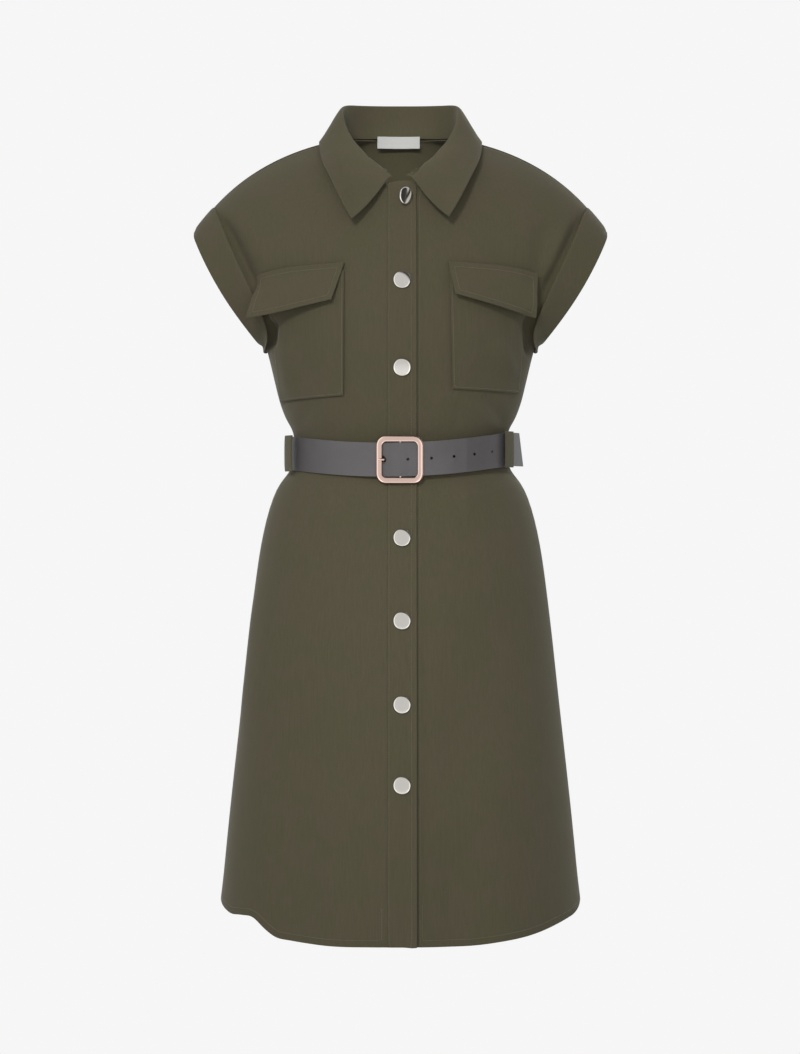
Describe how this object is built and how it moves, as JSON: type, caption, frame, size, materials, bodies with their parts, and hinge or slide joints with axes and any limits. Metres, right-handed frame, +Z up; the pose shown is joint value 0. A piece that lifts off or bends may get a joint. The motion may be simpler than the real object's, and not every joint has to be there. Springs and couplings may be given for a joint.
{
  "type": "shirt dress",
  "caption": "Knee-length belted shirt dress, filled out with no wearer: turned-down collar, cap sleeves with turned-back cuffs, flapped chest pockets, buttoned front and curved shirt-tail hem.",
  "frame": {"origin": "between the shoulders, on the centre plane, level with the neck ends of the shoulder seams, where a wearer's shoulders hold the dress up", "axes": "+Z up, front faces -Y, +X to the right of someone facing the front (the wearer's left)"},
  "size_m": [0.4766, 0.3079, 0.9503],
  "materials": {
    "cloth": "matt olive crepe with a faint upright slub",
    "belt_strap": "smooth dark grey-brown imitation leather, low sheen",
    "buckle_metal": "polished rose gold plating",
    "button_metal": "polished pale metal",
    "label_satin": "white satin ribbon, blank"
  },
  "bodies": {
    "root": {"front_left": "cloth", "front_right": "cloth", "back": "cloth", "band_lower": "cloth", "band_upper": "cloth", "cuff_left": "cloth", "cuff_right": "cloth", "collar": "cloth", "pocket_left": "cloth", "pocket_right": "cloth", "flap_left": "cloth", "flap_right": "cloth", "loop_left": "cloth", "loop_right": "cloth", "belt": "belt_strap", "buckle_frame": "buckle_metal", "buckle_prong": "buckle_metal", "button_1": "button_metal", "button_2": "button_metal", "button_3": "button_metal", "button_4": "button_metal", "button_5": "button_metal", "button_6": "button_metal", "button_7": "button_metal", "button_8": "button_metal", "label": "label_satin"}
  },
  "joints": []
}
